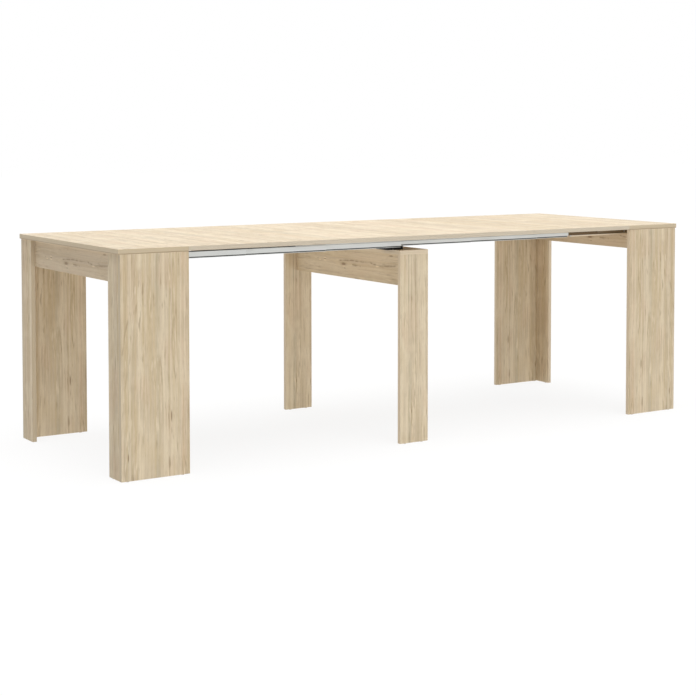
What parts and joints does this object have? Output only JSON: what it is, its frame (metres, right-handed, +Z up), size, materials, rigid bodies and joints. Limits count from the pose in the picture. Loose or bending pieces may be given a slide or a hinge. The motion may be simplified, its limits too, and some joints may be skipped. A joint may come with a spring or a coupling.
{
  "type": "extending dining table",
  "caption": "Long dining table that closes to a narrow console: oak-look end legs, nested aluminium slides, a travelling middle frame and loose lift-off leaves.",
  "frame": {"origin": "on the floor, under the middle of the open table", "axes": "+X along the table from the fixed left end to the travelling right end, +Y from front to back, +Z up"},
  "size_m": [2.52, 0.9, 0.78],
  "materials": {
    "top_oak": "pale oak melamine, satin",
    "leg_oak": "light oak melamine, matt",
    "apron_oak": "light oak melamine with knots, matt",
    "beech": "plain beech, planed",
    "slide_aluminium": "satin anodised extrusion",
    "black_nylon": "moulded, fine grain",
    "brown_nylon": "moulded, fine grain",
    "glide_plastic": "moulded, smooth",
    "pad_rubber": "matt",
    "zinc": "zinc plated"
  },
  "bodies": {
    "left_end": {"left_top": "top_oak", "left_front_leg_panel": "leg_oak", "left_front_leg_return": "leg_oak", "left_back_leg_panel": "leg_oak", "left_back_leg_return": "leg_oak", "left_apron": "apron_oak", "left_rail_blocks": "beech", "left_top_blocks": "beech", "left_wood_dowels": "beech", "left_cam_locks": "zinc", "left_wood_screws": "zinc", "left_foot_glides": "glide_plastic", "front_slide_1": "slide_aluminium", "back_slide_1": "slide_aluminium"},
    "slide_stage_2": {"front_slide_2": "slide_aluminium", "back_slide_2": "slide_aluminium"},
    "slide_stage_3": {"front_slide_3": "slide_aluminium", "back_slide_3": "slide_aluminium"},
    "middle_frame": {"front_slide_4": "slide_aluminium", "back_slide_4": "slide_aluminium", "front_slide_carrier": "black_nylon", "back_slide_carrier": "black_nylon", "middle_top_board": "apron_oak", "middle_front_leg": "leg_oak", "middle_back_leg": "leg_oak", "middle_cross_rail": "apron_oak", "middle_wood_dowels": "beech", "middle_screws": "zinc", "middle_foot_glides": "glide_plastic"},
    "slide_stage_5": {"front_slide_5": "slide_aluminium", "back_slide_5": "slide_aluminium"},
    "slide_stage_6": {"front_slide_6": "slide_aluminium", "back_slide_6": "slide_aluminium", "slide_runners": "brown_nylon"},
    "right_end": {"right_top": "top_oak", "right_front_leg_panel": "leg_oak", "right_front_leg_return": "leg_oak", "right_back_leg_panel": "leg_oak", "right_back_leg_return": "leg_oak", "right_apron": "apron_oak", "right_rail_blocks": "beech", "right_top_blocks": "beech", "right_wood_dowels": "beech", "right_cam_locks": "zinc", "right_wood_screws": "zinc", "right_foot_glides": "glide_plastic", "front_slide_7": "slide_aluminium", "back_slide_7": "slide_aluminium"},
    "leaf_1": {"leaf_1": "top_oak", "leaf_1_rest_pads": "pad_rubber", "leaf_1_guide_blocks": "black_nylon"},
    "leaf_2": {"leaf_2": "top_oak", "leaf_2_rest_pads": "pad_rubber", "leaf_2_guide_blocks": "black_nylon"},
    "leaf_3": {"leaf_3": "top_oak", "leaf_3_rest_pads": "pad_rubber", "leaf_3_guide_blocks": "black_nylon"},
    "leaf_4": {"leaf_4": "top_oak", "leaf_4_rest_pads": "pad_rubber", "leaf_4_guide_blocks": "black_nylon"}
  },
  "joints": [
    {"name": "extension", "type": "slide", "parent": "left_end", "child": "right_end", "axis": [1, 0, 0], "range_m": [-1.9997, 0]},
    {"name": "slide_2_travel", "type": "slide", "parent": "left_end", "child": "slide_stage_2", "axis": [1, 0, 0], "range_m": [-0.3335, 0]},
    {"name": "slide_3_travel", "type": "slide", "parent": "left_end", "child": "slide_stage_3", "axis": [1, 0, 0], "range_m": [-0.6668, 0]},
    {"name": "middle_frame_travel", "type": "slide", "parent": "left_end", "child": "middle_frame", "axis": [1, 0, 0], "range_m": [-1.0001, 0]},
    {"name": "slide_5_travel", "type": "slide", "parent": "left_end", "child": "slide_stage_5", "axis": [1, 0, 0], "range_m": [-1.3333, 0]},
    {"name": "slide_6_travel", "type": "slide", "parent": "left_end", "child": "slide_stage_6", "axis": [1, 0, 0], "range_m": [-1.6666, 0]},
    {"name": "leaf_1_lift", "type": "slide", "parent": "left_end", "child": "leaf_1", "axis": [0, 0, 1], "range_m": [0, 0.6]},
    {"name": "leaf_2_lift", "type": "slide", "parent": "left_end", "child": "leaf_2", "axis": [0, 0, 1], "range_m": [0, 0.6]},
    {"name": "leaf_3_lift", "type": "slide", "parent": "left_end", "child": "leaf_3", "axis": [0, 0, 1], "range_m": [0, 0.6]},
    {"name": "leaf_4_lift", "type": "slide", "parent": "left_end", "child": "leaf_4", "axis": [0, 0, 1], "range_m": [0, 0.6]}
  ],
  "couplings": [
    {"joint": "slide_2_travel", "follows": "extension", "ratio": 0.16667},
    {"joint": "slide_3_travel", "follows": "extension", "ratio": 0.33333},
    {"joint": "middle_frame_travel", "follows": "extension", "ratio": 0.5},
    {"joint": "slide_5_travel", "follows": "extension", "ratio": 0.66667},
    {"joint": "slide_6_travel", "follows": "extension", "ratio": 0.83333},
    {"joint": "leaf_1_lift", "follows": "extension", "ratio": -0.3},
    {"joint": "leaf_2_lift", "follows": "extension", "ratio": -0.3},
    {"joint": "leaf_3_lift", "follows": "extension", "ratio": -0.3},
    {"joint": "leaf_4_lift", "follows": "extension", "ratio": -0.3}
  ]
}
